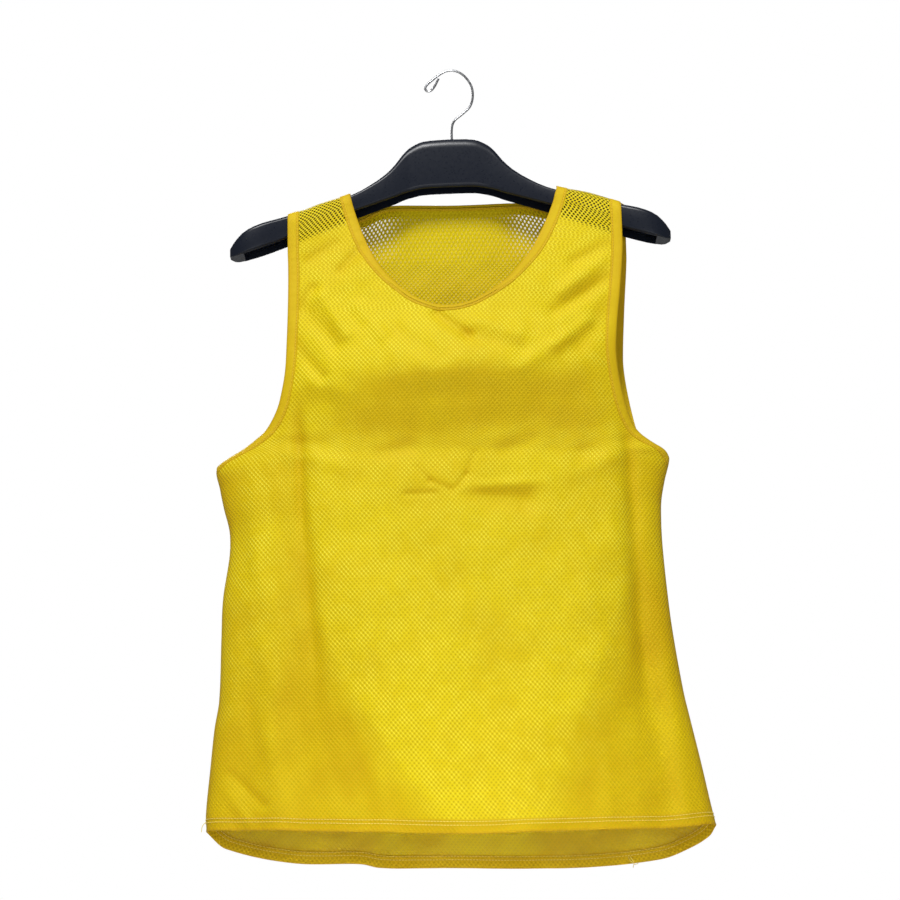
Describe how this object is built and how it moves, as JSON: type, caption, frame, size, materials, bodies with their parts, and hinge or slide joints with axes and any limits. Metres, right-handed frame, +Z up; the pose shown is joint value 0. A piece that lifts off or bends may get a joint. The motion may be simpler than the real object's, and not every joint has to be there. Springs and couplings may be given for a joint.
{
  "type": "mesh training bib on hanger",
  "caption": "Sleeveless mesh bib with a scooped neck and bound armholes, hanging open and empty on a plastic suit hanger with a wire hook.",
  "frame": {"origin": "inside top of the hook's bend, where the hanger hangs on a rail or peg", "axes": "+Z up, -Y out of the garment's front, +X to the right of someone who looks at the front"},
  "size_m": [0.4853, 0.1134, 0.806],
  "materials": {
    "mesh_cloth": "shiny knitted polyester mesh",
    "binding_cloth": "satin knitted binding",
    "hanger_plastic": "satin black",
    "hook_wire": "polished"
  },
  "bodies": {
    "root": {"front_panel": "mesh_cloth", "back_panel": "mesh_cloth", "neck_binding": "binding_cloth", "armhole_binding_left": "binding_cloth", "armhole_binding_right": "binding_cloth", "front_hem": "mesh_cloth", "back_hem": "mesh_cloth", "hanger": "hanger_plastic", "hanger_hook": "hook_wire"}
  },
  "joints": []
}
